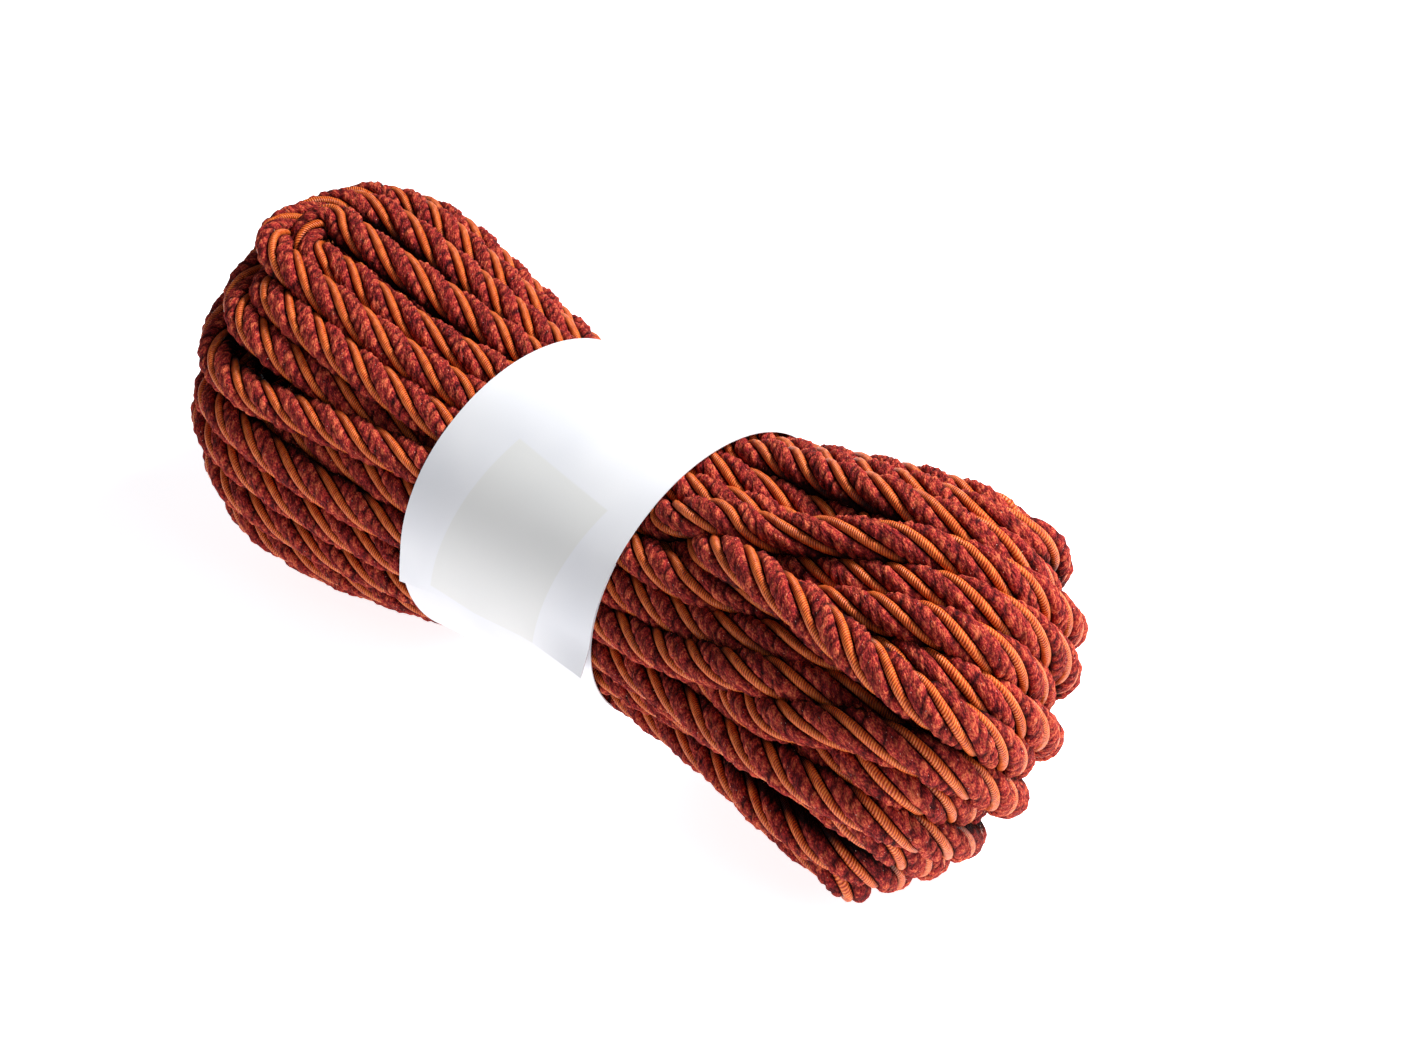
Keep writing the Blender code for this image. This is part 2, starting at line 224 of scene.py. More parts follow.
@dataclass(frozen=True)
class ChenillePly:
    """Braided chenille ply of cotton and viscose pile, cut and brushed up into knobs."""

    # painted shade: near-black for the gaps between knobs and the pile that faces into the hank
    painted_gap_shade: str = "#130307"
    deep: str = "#33070d"
    maroon: str = "#6a141e"
    brick: str = "#ba3430"
    orange: str = "#f07a52"
    glint: str = "#eab8a6"
    clump_mm: float = 2.3
    tuft_mm: float = 0.75
    strand_mm: float = 0.4
    glint_mm: float = 3.6
    glint_size: float = 0.022              # as a share of the distance between glints
    relief: float = 0.7 * MM
    roughness: float = 0.8
    specular: float = 0.12
    sheen: float = 0.06
    sheen_roughness: float = 0.4
    sheen_tint: str = "#ff8a5a"

    def material(self) -> bpy.types.Material:
        """The ply's material, on the cord's own UV map, which is in millimetres."""
        # Chenille: matt cut pile. Its shade is painted into the colour: the knobs are painted lit on their
        # crowns and painted nearly black in the gaps between them, between tufts, on covered turns and where
        # the cord faces into the hank. Red pile of several dye lots is mixed with orange, and the odd loose
        # fibre glint is a painted highlight. Real pile is 0.1 mm thick, too fine to show here, so it is drawn
        # 0.4 mm wide
        material, tree, shader = new_material("chenille_ply")
        uv = add_node(tree, "ShaderNodeUVMap", {"uv_map": "cord"}).outputs["UV"]
        crest_and_painted_shade = add_node(tree, "ShaderNodeAttribute", {"attribute_name": "crest_and_painted_shade"}).outputs["Fac"]
        flat = {"feature": "F1", "voronoi_dimensions": "2D"}
        clump = add_node(tree, "ShaderNodeTexVoronoi", flat,
                         {"Scale": 1 / self.clump_mm, "Randomness": 0.8}, {"Vector": uv})
        tuft = add_node(tree, "ShaderNodeTexVoronoi", flat,
                        {"Scale": 1 / self.tuft_mm, "Randomness": 1.0}, {"Vector": uv})
        strand = add_node(tree, "ShaderNodeTexNoise", {"noise_dimensions": "2D"},
                          {"Scale": 1 / self.strand_mm, "Detail": 3.0, "Roughness": 0.7}, {"Vector": uv})
        # dye lots from noise, lifted towards orange by the painted light on the knob crowns
        tone = weighted_sum(tree, [(clump.outputs["Color"], 0.12), (tuft.outputs["Color"], 0.22),
                                   (strand.outputs["Fac"], 0.70), (crest_and_painted_shade, 0.16)])
        colour = colour_ramp(tree, tone, [(0.34, self.deep), (0.5, self.maroon), (0.64, self.brick),
                                          (0.80, self.orange)])
        # painted shade: away from the painted-lit knob crowns and at the edges of clumps and tufts the pile
        # is painted towards near-black
        painted_shade_share = weighted_sum(tree, [(crest_and_painted_shade, 1.3), (clump.outputs["Distance"], -0.15),
                                    (tuft.outputs["Distance"], -0.45)])
        body = mixed(tree, ramp_value(tree, painted_shade_share, (-0.1, 0.7)), self.painted_gap_shade, colour)
        # painted highlight: small pale spots in the pile's colour stand for the glint of loose fibres
        painted_glint_cells = add_node(tree, "ShaderNodeTexVoronoi", flat,
                         {"Scale": 1 / self.glint_mm, "Randomness": 1.0}, {"Vector": uv})
        near = add_node(tree, "ShaderNodeMath", {"operation": "LESS_THAN"}, {1: self.glint_size},
                        {0: painted_glint_cells.outputs["Distance"]})
        tree.links.new(mixed(tree, near.outputs[0], body, self.glint), shader.inputs["Base Color"])
        height = weighted_sum(tree, [(clump.outputs["Distance"], -0.35), (tuft.outputs["Distance"], -0.5),
                                     (strand.outputs["Fac"], 0.45), (crest_and_painted_shade, 0.5)])
        bump = add_node(tree, "ShaderNodeBump", None, {"Strength": 1.0, "Distance": self.relief},
                        {"Height": height})
        tree.links.new(bump.outputs["Normal"], shader.inputs["Normal"])
        shader.inputs["Roughness"].default_value = self.roughness
        shader.inputs["Specular IOR Level"].default_value = self.specular
        shader.inputs["Sheen Weight"].default_value = self.sheen
        shader.inputs["Sheen Roughness"].default_value = self.sheen_roughness
        shader.inputs["Sheen Tint"].default_value = linear(self.sheen_tint)
        return material


@dataclass(frozen=True)
class WrappedGimp:
    """Gimp: a cotton core wrapped closely, turn by turn, in rayon thread."""

    # painted shade: the near-black that a gimp's sides, covered turns and inward-facing parts are painted
    # towards
    groove: str = "#2a0806"
    shade: str = "#9c2e0a"
    body: str = "#e65616"
    light: str = "#ff9044"
    turn_mm: float = 0.5
    patch_scale: float = 0.7               # patches of about 1.4 mm, for each millimetre
    relief: float = 0.16 * MM
    roughness: float = 0.4
    specular: float = 0.4

    def material(self) -> bpy.types.Material:
        """The gimp's material, with a band for each turn of the wrapping thread."""
        # Rayon thread: brighter and smoother than the pile. A soft orange shine is painted along the gimp and
        # on each turn as a painted highlight, with a fine line of painted shade between turns and painted
        # shade at its sides. Real thread is 0.2 mm thick, too fine to show here, so its turns are drawn 0.5
        # mm apart
        material, tree, shader = new_material("wrapped_gimp")
        uv = add_node(tree, "ShaderNodeUVMap", {"uv_map": "cord"}).outputs["UV"]
        crest_and_painted_shade = add_node(tree, "ShaderNodeAttribute", {"attribute_name": "crest_and_painted_shade"}).outputs["Fac"]
        # the bands paint a highlight on each turn of the thread and a dark line of painted shade between
        # turns
        turns = add_node(tree, "ShaderNodeTexWave", {"wave_type": "BANDS", "bands_direction": "X"},
                         {"Scale": WAVE_REPEAT / self.turn_mm, "Distortion": 0.8, "Detail": 1.0,
                          "Detail Scale": 1.0}, {"Vector": uv})
        patches = add_node(tree, "ShaderNodeTexNoise", {"noise_dimensions": "2D"},
                           {"Scale": self.patch_scale, "Detail": 2.0}, {"Vector": uv})
        tone = weighted_sum(tree, [(turns.outputs["Fac"], 0.45), (patches.outputs["Fac"], 0.6)])
        colour = colour_ramp(tree, tone, [(0.2, self.shade), (0.48, self.body), (0.8, self.light)])
        # painted shade: the gimp goes towards the groove colour at its sides, on covered turns and where it
        # faces into the hank
        body = mixed(tree, ramp_value(tree, crest_and_painted_shade, (0.1, 0.75)), self.groove, colour)
        tree.links.new(body, shader.inputs["Base Color"])
        bump = add_node(tree, "ShaderNodeBump", None, {"Strength": 1.0, "Distance": self.relief},
                        {"Height": turns.outputs["Fac"]})
        tree.links.new(bump.outputs["Normal"], shader.inputs["Normal"])
        shader.inputs["Roughness"].default_value = self.roughness
        shader.inputs["Specular IOR Level"].default_value = self.specular
        return material


@dataclass(frozen=True)
class CoatedPaper:
    """Coated label paper, bare, with a piece of clear tape over its lap."""

    white: str = "#f5f6f9"
    cool: str = "#eceef3"
    tape: str = "#eaeae4"
    tape_middle: tuple = (21.5, 0.3)       # mm from the free edge, mm along the hank
    tape_half: tuple = (22.5, 15.5)
    tape_turn: float = 11.0
    tape_share: float = 0.6
    cloud_scale: float = 35.0              # clouds of about 30 mm, for each metre
    tooth_scale: float = 2500.0            # a tooth of 0.4 mm, for each metre
    tooth_depth: float = 0.05 * MM
    roughness: float = 0.45

    def material(self) -> bpy.types.Material:
        """The paper's material, on Object coordinates, with the tape on the strip's UV map."""
        # Coated paper: smooth, cool white and slightly satin, so it shades evenly round the waist
        # with only the faintest cloud and tooth. The clear tape over the lap is a shade greyer
        # and warmer
        material, tree, shader = new_material("coated_paper")
        place = add_node(tree, "ShaderNodeTexCoord").outputs["Object"]
        cloud = add_node(tree, "ShaderNodeTexNoise", None, {"Scale": self.cloud_scale, "Detail": 2.0},
                         {"Vector": place})
        colour = colour_ramp(tree, cloud.outputs["Fac"], [(0.3, self.cool), (0.6, self.white)])
        strip = add_node(tree, "ShaderNodeUVMap", {"uv_map": "strip"}).outputs["UV"]
        frame = add_node(tree, "ShaderNodeMapping", {"vector_type": "TEXTURE"},
                         {"Location": (*self.tape_middle, 0.0), "Scale": (*self.tape_half, 1.0),
                          "Rotation": (0.0, 0.0, math.radians(self.tape_turn))}, {"Vector": strip})
        sides = add_node(tree, "ShaderNodeSeparateXYZ", None, None, {"Vector": frame.outputs[0]})
        lengths = [add_node(tree, "ShaderNodeMath", {"operation": "ABSOLUTE"}, None, {0: sides.outputs[axis]})
                   for axis in ("X", "Y")]
        reach = add_node(tree, "ShaderNodeMath", {"operation": "MAXIMUM"}, None,
                         {0: lengths[0].outputs[0], 1: lengths[1].outputs[0]})
        taped = ramp_value(tree, reach.outputs[0], (0.98, 1.0), (self.tape_share, 0.0))
        tree.links.new(mixed(tree, taped, colour, self.tape), shader.inputs["Base Color"])
        tooth = add_node(tree, "ShaderNodeTexNoise", None, {"Scale": self.tooth_scale, "Detail": 2.0},
                         {"Vector": place})
        bump = add_node(tree, "ShaderNodeBump", None, {"Strength": 0.15, "Distance": self.tooth_depth},
                        {"Height": tooth.outputs["Fac"]})
        tree.links.new(bump.outputs["Normal"], shader.inputs["Normal"])
        shader.inputs["Roughness"].default_value = self.roughness
        return material


@dataclass(frozen=True)
class Run:
    """One run of the cord from bight to bight: its angles round the axis and its depth."""

    layer: Layer
    angles: tuple
    sunk: tuple = (0, 0, 0, 0, 0, 0, 0)


# The runs that show: angle in degrees from +Y towards +Z at each station of the hank, and how
# far each lies below the outside there, in cords
SHOWN_RUNS = {
    "top_first": Run(Layer.OUTER, (62, 58, 54, 46, 58, 64, 60)),
    "top_second": Run(Layer.OUTER, (78, 74, 70, 62, 69, 75, 71)),
    "top_third": Run(Layer.OUTER, (95, 90, 86, 80, 82, 88, 83)),
    "top_fourth": Run(Layer.OUTER, (107, 106, 101, 97, 97, 99, 96), (0.2, 0.3, 0, 0, 0.3, 1, 1)),
    "inner_loop": Run(Layer.OUTER, (117, 119, 116, 113, 105, 101, 90), (0, 0, 0, 0, 0.2, 1, 1.2)),
    "wide_loop": Run(Layer.OUTER, (127, 130, 131, 127, 119, 110, 96)),
    "left_tip": Run(Layer.OUTER, (156, 149, 147, 142, 139, 130, 117), (0, 0, 0, 0, 0, 0.2, 0)),
    "under_tip": Run(Layer.OUTER, (161, 161, 161, 157, 152, 144, 130), (0.8, 0.6, 0, 0, 0, 0.3, 0)),
    "low_first": Run(Layer.OUTER, (167, 173, 176, 172, 164, 153, 143), (0, 0, 0, 0, 0, 0, 0.8)),
    "low_second": Run(Layer.OUTER, (177, 186, 190, 188, 181, 175, 171)),
    "low_third": Run(Layer.OUTER, (192, 202, 206, 204, 193, 186, 181), (0, 0, 0, 0, 0.5, 0.7, 0.1)),
    "low_fourth": Run(Layer.OUTER, (209, 217, 222, 221, 207, 204, 206)),
    "low_fifth": Run(Layer.OUTER, (226, 233, 238, 237, 224, 218, 219)),
    "crossing": Run(Layer.SECOND, (138, 138, 138, 131, 127, 131, 136), (0, 0.4, 1, 1, -0.4, -0.6, -0.2)),
    "rising_high": Run(Layer.SECOND, (122, 120, 118, 114, 118, 119, 105), (1, 1, 1, 1, 0.8, 0.3, 0)),
    "rising_low": Run(Layer.SECOND, (184, 183, 182, 180, 172, 163, 154), (1, 1, 1, 1, 0.2, 0, 0)),
    "rising_last": Run(Layer.SECOND, (200, 201, 202, 200, 188, 173, 162), (1, 1, 1, 1, 1, 0.5, 0)),
}


@dataclass
class Cord:
    """The cord's own make-up: three plies with a gimp in each groove between them."""

    thickness: float = 9.0 * MM
    lay: float = 38.0 * MM                 # one full turn of the twist
    lay_drift: float = 0.30                # how far the twist wanders, in radians
    drift_length: float = 85.0 * MM
    ply_radius: float = 2.36 * MM
    ply_offset: float = 2.25 * MM
    gimp_radius: float = 1.20 * MM
    gimp_offset: float = 3.12 * MM
    groove_radius: float = 2.7 * MM
    knob_height: float = 0.80 * MM
    knob_middle: float = 0.35              # share of a knob that lies below the ply's own round
    knob_length: float = 2.5 * MM
    knob_row: float = 0.48                 # where a row of knobs lies, from the ply's middle to its side
    knob_spread: float = 0.55
    knob_sizes: tuple = (0.6, 1.15)
    knob_slip: float = 0.12                # how far a knob strays from its row, in knobs
    ply_half: float = 40.0                 # degrees from a ply's middle to its side
    gimp_angles: tuple = (-19.0, -10.0, 0.0, 10.0, 19.0)
    groove_angles: tuple = (22.5, 97.5)
    ply_angles: tuple = (26.5, 36.0, 45.5, 55.0, 65.0, 74.5, 84.0, 93.5)
    ring_spacing: float = 0.83 * MM
    hidden_spacing: float = 3.6 * MM
    gimp_shade: float = 0.55               # how much darker the painted shade makes a gimp at its sides
    valley_light: float = 0.25             # how lit the painted shade leaves the valleys between knobs
    hidden_light: float = 0.30             # how lit the painted shade leaves the covered turns

    def profile(self) -> tuple:
        """Work out the cord's outline across its axis.

        Returns:
            Angles in radians, radii, whether each point is on a ply, and how lit its painted shade leaves it,
            all round.
        """
        angles, radii, on_ply, crest_and_painted_shade = [], [], [], []
        order = sorted(self.gimp_angles + self.groove_angles + self.ply_angles)
        for sector in range(3):
            for degrees in order:
                turn = math.radians(degrees)
                angles.append(turn + sector * 2 * math.pi / 3)
                on_ply.append(degrees not in self.gimp_angles)
                if degrees in self.groove_angles:
                    radii.append(self.groove_radius)
                    crest_and_painted_shade.append(0.0)
                    continue
                from_ply = math.radians(degrees - 60 if degrees > 0 else degrees + 60)
                ply = self.circle_reach(self.ply_offset, self.ply_radius, from_ply)
                gimp = self.circle_reach(self.gimp_offset, self.gimp_radius, turn)
                radii.append(max(ply, gimp))
                # painted shade: a gimp is painted lit along its middle and darker towards its sides
                side = abs(degrees) / max(self.gimp_angles)
                crest_and_painted_shade.append(1.0 if on_ply[-1] else 1.0 - self.gimp_shade * side ** 2)
        return np.array(angles), np.array(radii), np.array(on_ply), np.array(crest_and_painted_shade)

    @staticmethod
    def circle_reach(offset: float, radius: float, turn: float) -> float:
        """How far an offset circle reaches along a ray that leaves the cord's axis.

        Args:
            offset: the circle's middle, from the axis.
            radius: the circle's radius.
            turn: angle between the ray and the circle's middle, in radians.

        Returns:
            The distance, or zero where the ray misses the circle.
        """
        inside = radius ** 2 - (offset * math.sin(turn)) ** 2
        return offset * math.cos(turn) + math.sqrt(inside) if inside > 0 else 0.0


@dataclass
class PaperBand:
    """The bare paper sleeve round the waist: one strip, with its free end lapped over the other.

    Angles round it are in degrees from +Y towards +Z.
    """

    axis_height: float = 44.0 * MM
    width: float = 56.5 * MM
    inner_left: float = 39.3 * MM
    inner_right: float = 36.8 * MM
    skew: float = 0.134                    # how far the far side leads the near side along X, for each metre
    skew_angle: float = 47.0
    free_edge: float = 191.0
    lap: float = 44.0
    paper: float = 0.25 * MM
    lift: float = 3.0 * MM                 # how far the free edge stands off at its right corner
    lift_angle: float = 13.0
    lift_right: tuple = (0.18, 0.32)       # where the right corner's lift starts, and its run
    lift_left: tuple = (0.32, 0.18)
    left_share: float = 0.35               # how much the left corner lifts, against the right one
    lap_ramp: float = 20.0
    lap_gap: float = 1.3                   # rise of the upper layer, in thicknesses of paper
    slack: float = 0.10 * MM
    steps_round: int = 180
    steps_along: int = 14

    def lead(self, off_axis: np.ndarray) -> np.ndarray:
        """How far the skewed band is along X, at places off its axis in Y and Z."""
        angle = math.radians(self.skew_angle)
        return self.skew * (off_axis @ np.array([math.cos(angle), math.sin(angle)]))

    def inner_radius(self, x: np.ndarray) -> np.ndarray:
        """Inner radius at places along X from the band's middle."""
        share = np.clip(x / self.width + 0.5, 0.0, 1.0)
        return self.inner_left + (self.inner_right - self.inner_left) * share

    def waist(self) -> Vector:
        """Place of the band's middle on the surface, worked out from the CAD band's box."""
        low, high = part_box("band")
        x = (low[0] + high[0]) / 2 + self.skew * (self.inner_left - self.inner_right) / 2
        return Vector((x, (low[1] + high[1]) / 2, 0.0))

    def place(self, along: float, turned: float) -> tuple:
        """Where a point of the flat strip lies once it is wrapped.

        Args:
            along: place along X, from -0.5 to 0.5 of the width.
            turned: degrees back round the band from its free edge.

        Returns:
            The point.
        """
        x = along * self.width
        over = min(max((self.lap + self.lap_ramp - turned) / self.lap_ramp, 0.0), 1.0)
        open_end = max(1.0 - turned / self.lift_angle, 0.0) ** 1.6
        right = max(along - self.lift_right[0], 0.0) / self.lift_right[1]
        left = max(-along - self.lift_left[0], 0.0) / self.lift_left[1]
        corner = right + self.left_share * left
        slack = self.slack * math.sin(math.radians(3 * turned + 200 * along)) * (1.0 - abs(over - 0.5))
        radius = float(self.inner_radius(x)) + self.paper * self.lap_gap * over
        radius += self.lift * open_end * corner + slack
        angle = math.radians(self.free_edge - turned)
        off_axis = np.array([radius * math.cos(angle), radius * math.sin(angle)])
        return (x + float(self.lead(off_axis)), off_axis[0], off_axis[1] + self.axis_height)

    def build(self, paper: CoatedPaper) -> bpy.types.Object:
        """Wrap the strip round the waist, give it its thickness and dress it."""
        total = 360.0 + self.lap
        rows, columns = self.steps_round + 1, self.steps_along + 1
        points, flat = [], []
        for i in range(rows):
            turned = total * i / self.steps_round
            for j in range(columns):
                along = j / self.steps_along - 0.5
                points.append(self.place(along, turned))
                flat.append((math.radians(turned) * self.inner_left / MM, along * self.width / MM))
        faces = [(i * columns + j, (i + 1) * columns + j, (i + 1) * columns + j + 1, i * columns + j + 1)
                 for i in range(rows - 1) for j in range(columns - 1)]
        mesh = bpy.data.meshes.new("paper_band")
        mesh.from_pydata(points, [], faces)
        uv = mesh.uv_layers.new(name="strip")
        for loop in mesh.loops:
            uv.data[loop.index].uv = flat[loop.vertex_index]
        mesh.transform(Matrix.Translation(self.waist()))
        band = bpy.data.objects.new("paper_band", mesh)
        bpy.context.collection.objects.link(band)
        for obj in bpy.data.objects:
            obj.select_set(obj is band)
        bpy.context.view_layer.objects.active = band
        thick = band.modifiers.new("paper", "SOLIDIFY")
        thick.thickness = self.paper
        thick.offset = 1.0
        bpy.ops.object.modifier_apply(modifier=thick.name)
        band.data.materials.append(paper.material())
        bpy.ops.object.shade_smooth_by_angle(angle=math.radians(40))
        return band


@dataclass
class Hank:
    """The wound cord: how its turns lie, and the pieces they are made as."""

    cord: Cord
    waist: Vector
    band: PaperBand
    band_clear: float = 0.4 * MM
    paper_clear: float = 0.25 * MM
    band_margin: float = 3.0 * MM
    flat_depth: float = 1.2 * MM
    stack_left: float = 98.0
    stack_right: float = 47.0
    # middle of each end, its slant and its rounding
    end_left: tuple = (-104.0 * MM, 10.0 * MM, 16.0 * MM)
    end_right: tuple = (99.0 * MM, 15.0 * MM, 13.0 * MM)
    nesting: float = 0.7                   # how much sooner a run turns, for its depth
    bight_reach: tuple = (6.0 * MM, 13.0 * MM)  # bulge of the narrowest bight, and what the widest adds
    left_shift: tuple = (3.5 * MM, 3.0 * MM)
    right_shift: tuple = (-1.5 * MM, -1.0 * MM)
    stations: np.ndarray = field(default_factory=lambda: np.array([-84, -55, -27, 27, 52, 76, 100]) * MM)
    layer_radius: dict = field(default_factory=lambda: {
        Layer.OUTER: np.array([46.5, 40.0, 34.5, 32.0, 34.7, 41.0, 42.0]) * MM,
        Layer.SECOND: np.array([32.0, 29.0, 25.5, 23.0, 27.5, 31.0, 33.5]) * MM,
        Layer.THIRD: np.array([23.0, 20.0, 16.5, 14.0, 18.0, 22.0, 24.5]) * MM,
        Layer.CORE: np.array([12.0, 10.0, 7.5, 5.5, 8.0, 11.0, 13.0]) * MM,
    })
    hidden_runs: dict = field(default_factory=lambda: {
        Layer.OUTER: (9, 250, 390), Layer.SECOND: (12, 222, 450),
        Layer.THIRD: (10, 10, 334), Layer.CORE: (4, 60, 330)})
    hidden_twist: np.ndarray = field(
        default_factory=lambda: np.array([17.0, 12.0, 4.0, -4.0, -11.0, -19.0, -27.0]))
    row_sizes: tuple = (2, 2, 3, 3, 3, 3, 3, 3, 2, 2)
    steps_along_run: int = 32
    steps_round_bight: int = 9
    relax_passes: int = 46
    closeness: float = 0.97                # how near two turns may come, in cords
    push_share: float = 0.24
    home_share: float = 0.02
    smooth_share: float = 0.12
    underside_share: float = 0.6           # how finely the underside is made, against the rest
    underside_facing: float = -0.8
    straight_half: float = 85.0 * MM
    dark_facing: float = -0.32             # a point that faces out less than this is painted fully in shade
    facing_span: float = 0.6

    def run_line(self, angles: np.ndarray, radii: np.ndarray) -> np.ndarray:
        """Lay one run from the left bights to the right bights.

        Args:
            angles: degrees round the axis at each station.
            radii: distance from the axis at each station.

        Returns:
            The run's points.
        """
        left = self.run_end(self.end_left, -1.0, angles[0] - self.stack_left, radii[0])
        right = self.run_end(self.end_right, 1.0, angles[-1] - self.stack_right, radii[-1])
        x = np.linspace(left, right, self.steps_along_run)
        angle = np.radians(np.interp(x, self.stations, angles))
        radius = np.interp(x, self.stations, radii)
        y = radius * np.cos(angle)
        z = radius * np.sin(angle) + self.band.axis_height
        for edge, far, move in ((2, 0, self.left_shift), (3, -1, self.right_shift)):
            edge, far = self.stations[edge], self.stations[far]
            share = np.clip((x - edge) / (far - edge), 0.0, 1.2) ** 1.5
            y += move[0] * share
            z += move[1] * share
        return np.stack([x, y, z], axis=1)

    def run_end(self, end: tuple, side: float, turn: float, radius: float) -> float:
        """Where a run stops and its bight starts.

        Args:
            end: middle of the end along X, its slant and its rounding.
            side: -1 for the left end, 1 for the right.
            turn: degrees from the stack's direction to the run.
            radius: distance of the run from the axis.

        Returns:
            The place along X.
        """
        outside = self.layer_radius[Layer.OUTER][0 if side < 0 else -1]
        across = radius * math.sin(math.radians(turn)) / outside
        along = radius * math.cos(math.radians(turn)) / outside
        return end[0] + end[1] * across - side * (end[2] * along ** 2 + self.nesting * (outside - radius))

    def all_runs(self) -> list:
        """Every run of the hank as a line of points, those that show first."""
        outer = self.layer_radius[Layer.OUTER]
        lines = []
        for run in SHOWN_RUNS.values():
            share = 1.0 if run.layer is Layer.OUTER else 0.95
            sunk = self.cord.thickness * share * np.array(run.sunk)
            lines.append(self.run_line(np.array(run.angles, dtype=float), outer - sunk))
        for layer, (count, first, last) in self.hidden_runs.items():
            for angle in np.linspace(first, last, count):
                lines.append(self.run_line(angle + self.hidden_twist, self.layer_radius[layer]))
        return lines

    def pair_up(self, ends: np.ndarray, stack_angle: float) -> list:
        """Pair the runs at one end so that each bight goes round the others in its row.

        Args:
            ends: the last point of every run.
            stack_angle: the direction the bights are stacked along, in degrees.

        Returns:
            Pairs of near run and far run.
        """
        turn = math.radians(stack_angle)
        offset = ends[:, 1:] - ends[:, 1:].mean(axis=0)
        along = offset @ np.array([math.cos(turn), math.sin(turn)])
        across = offset @ np.array([-math.sin(turn), math.cos(turn)])
        order = np.argsort(-across)
        half = len(ends) // 2
        near = sorted(order[:half], key=lambda i: -along[i])
        far = sorted(order[half:], key=lambda i: -along[i])
        pairs = []
        start = 0
        for size in self.row_sizes:
            near_row = sorted(near[start:start + size], key=lambda i: -across[i])
            far_row = sorted(far[start:start + size], key=lambda i: across[i])
            pairs += zip(near_row, far_row)
            start += size
        return pairs

    def bight(self, start: np.ndarray, end: np.ndarray) -> np.ndarray:
        """Bend the cord from one run into another round the end of the hank.

        Args:
            start: last point of the first run.
            end: first point of the next run.

        Returns:
            The points between the two runs.
        """
        t = np.linspace(0.0, math.pi, self.steps_round_bight + 2)[1:-1]
        chord = end - start
        width = np.linalg.norm(chord)
        outward = np.array([math.copysign(1.0, start[0]), 0.0, 0.0])
        outward -= chord * (outward @ chord) / width ** 2
        outward /= np.linalg.norm(outward)
        widest = 2 * self.layer_radius[Layer.OUTER][-1]
        reach = self.bight_reach[0] + self.bight_reach[1] * min(width / widest, 1.0)
        across = chord * ((1 - np.cos(t)) / 2)[:, None]
        return start + across + outward * (reach * np.sin(t) ** 0.6)[:, None]

    def joined_loops(self) -> list:
        """Join the runs by their bights into closed lines of points."""
        lines = self.all_runs()
        joins = {}
        for side, stack in ((0, self.stack_left), (-1, self.stack_right)):
            for near, far in self.pair_up(np.array([line[side] for line in lines]), stack):
                joins[(near, side)] = far
                joins[(far, side)] = near
        loops = []
        unused = set(range(len(lines)))
        while unused:
            run, side, parts = min(unused), -1, []
            while run in unused:
                unused.discard(run)
                parts.append(lines[run] if side == -1 else lines[run][::-1])
                following = joins[(run, side)]
                parts.append(self.bight(lines[run][side], lines[following][side]))
                run, side = following, (0 if side == -1 else -1)
            loops.append(np.concatenate(parts))
        return loops

    def settle(self, loops: list) -> list:
        """Push the runs apart to a cord's thickness, in the band and above the surface.

        Args:
            loops: closed lines of points, which may cut into each other.

        Returns:
            The same lines, settled.
        """
        points = np.concatenate(loops)
        home = points.copy()
        counts = [len(loop) for loop in loops]
        owner = np.repeat(np.arange(len(loops)), counts)
        place = np.concatenate([np.arange(count) for count in counts])
        length = np.array(counts)[owner]
        starts = np.concatenate([[0], np.cumsum(counts)])
        first = starts[owner]
        before = first + (place - 1) % length
        after = first + (place + 1) % length
        apart = np.abs(place[:, None] - place[None, :])
        apart = np.minimum(apart, length[:, None] - apart)
        same = (owner[:, None] == owner[None, :]) & (apart < 4)
        for _ in range(self.relax_passes):
            delta = points[:, None, :] - points[None, :, :]
            distance = np.sqrt((delta ** 2).sum(axis=2)) + 1e-9
            overlap = np.where(same, 0.0, np.clip(self.cord.thickness * self.closeness - distance, 0.0, None))
            push = (delta / distance[:, :, None] * overlap[:, :, None]).sum(axis=1)
            points += push * self.push_share
            points += (home - points) * self.home_share
            points += ((points[before] + points[after]) / 2 - points) * self.smooth_share
            self.keep_in_bounds(points)
        return [points[start:stop] for start, stop in zip(starts, starts[1:])]

    def keep_in_bounds(self, points: np.ndarray) -> None:
        """Keep the runs inside the band and above the surface."""
        axis = np.array([0.0, self.band.axis_height])
        off_axis = points[:, 1:] - axis
        from_middle = points[:, 0] - self.band.lead(off_axis)
        in_band = np.abs(from_middle) < self.band.width / 2 + self.band_margin
        radius = np.linalg.norm(off_axis, axis=1)
        limit = self.band.inner_radius(from_middle) - self.band_clear - self.cord.thickness / 2
        scale = np.where(in_band & (radius > limit), limit / radius, 1.0)
        points[:, 1:] = off_axis * scale[:, None] + axis
        points[:, 2] = np.maximum(points[:, 2], self.cord.thickness / 2 - self.flat_depth)

    def tucked(self, places: np.ndarray) -> np.ndarray:
        """Press the cord's surface in where it would cut through the paper.

        Args:
            places: points of the surface, by ring.

        Returns:
            The same points, inside the band wherever it covers them.
        """
        axis = np.array([0.0, self.band.axis_height])
        off_axis = places[..., 1:] - axis
        from_middle = places[..., 0] - self.band.lead(off_axis)
        radius = np.linalg.norm(off_axis, axis=-1)
        limit = self.band.inner_radius(from_middle) - self.paper_clear
        pressed = (np.abs(from_middle) < self.band.width / 2 + self.paper_clear) & (radius > limit)
        scale = np.where(pressed, limit / radius, 1.0)
        across = off_axis * scale[..., None] + axis
        return np.concatenate([places[..., :1], across], axis=-1)

